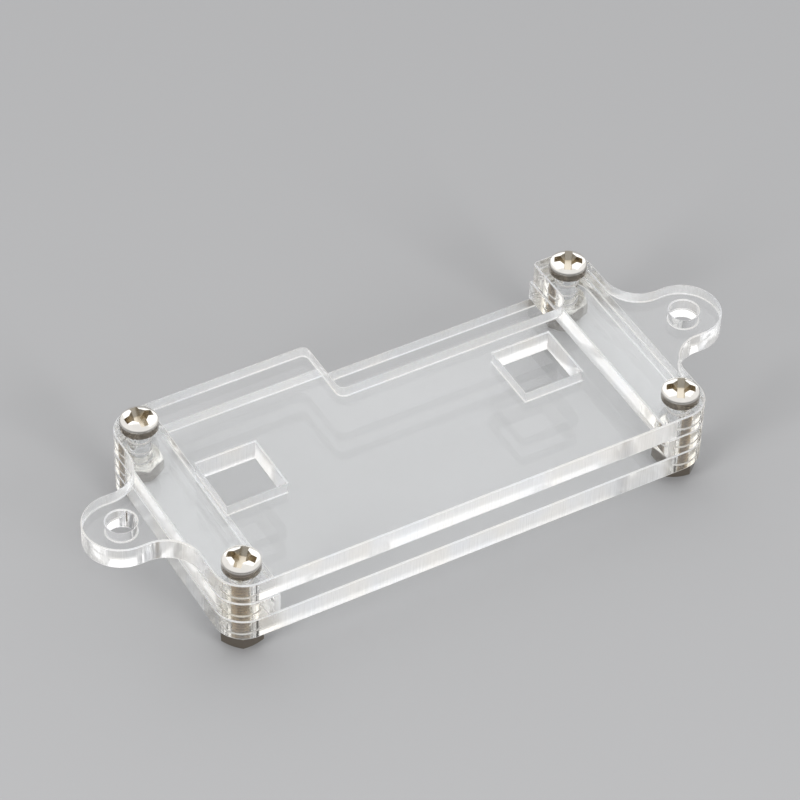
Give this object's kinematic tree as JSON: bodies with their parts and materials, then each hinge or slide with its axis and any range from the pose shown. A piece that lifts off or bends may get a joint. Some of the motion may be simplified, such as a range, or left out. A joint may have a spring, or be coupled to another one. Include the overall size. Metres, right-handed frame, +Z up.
{
  "type": "clear acrylic development board case",
  "caption": "Flat case for a small circuit board: clear acrylic plates held apart by spacer bars and clamped by corner screws, with a mounting lug at each end.",
  "frame": {"origin": "on the surface that the four screw tips stand on, under the middle of the case", "axes": "+X along the case towards the lug on the right, +Y from the front edge to the back edge with the cut-out, +Z up towards the screw heads"},
  "size_m": [0.0866, 0.0324, 0.0139],
  "materials": {
    "acrylic": "gloss",
    "screw_steel": "polished",
    "nut_steel": "satin"
  },
  "bodies": {
    "root": {"top_plate": "acrylic", "bottom_plate": "acrylic", "left_spacer": "acrylic", "right_spacer": "acrylic", "screw_front_left": "screw_steel", "screw_back_left": "screw_steel", "screw_front_right": "screw_steel", "screw_back_right": "screw_steel", "nut_front_left": "nut_steel", "nut_back_left": "nut_steel", "nut_front_right": "nut_steel", "nut_back_right": "nut_steel"}
  },
  "joints": []
}
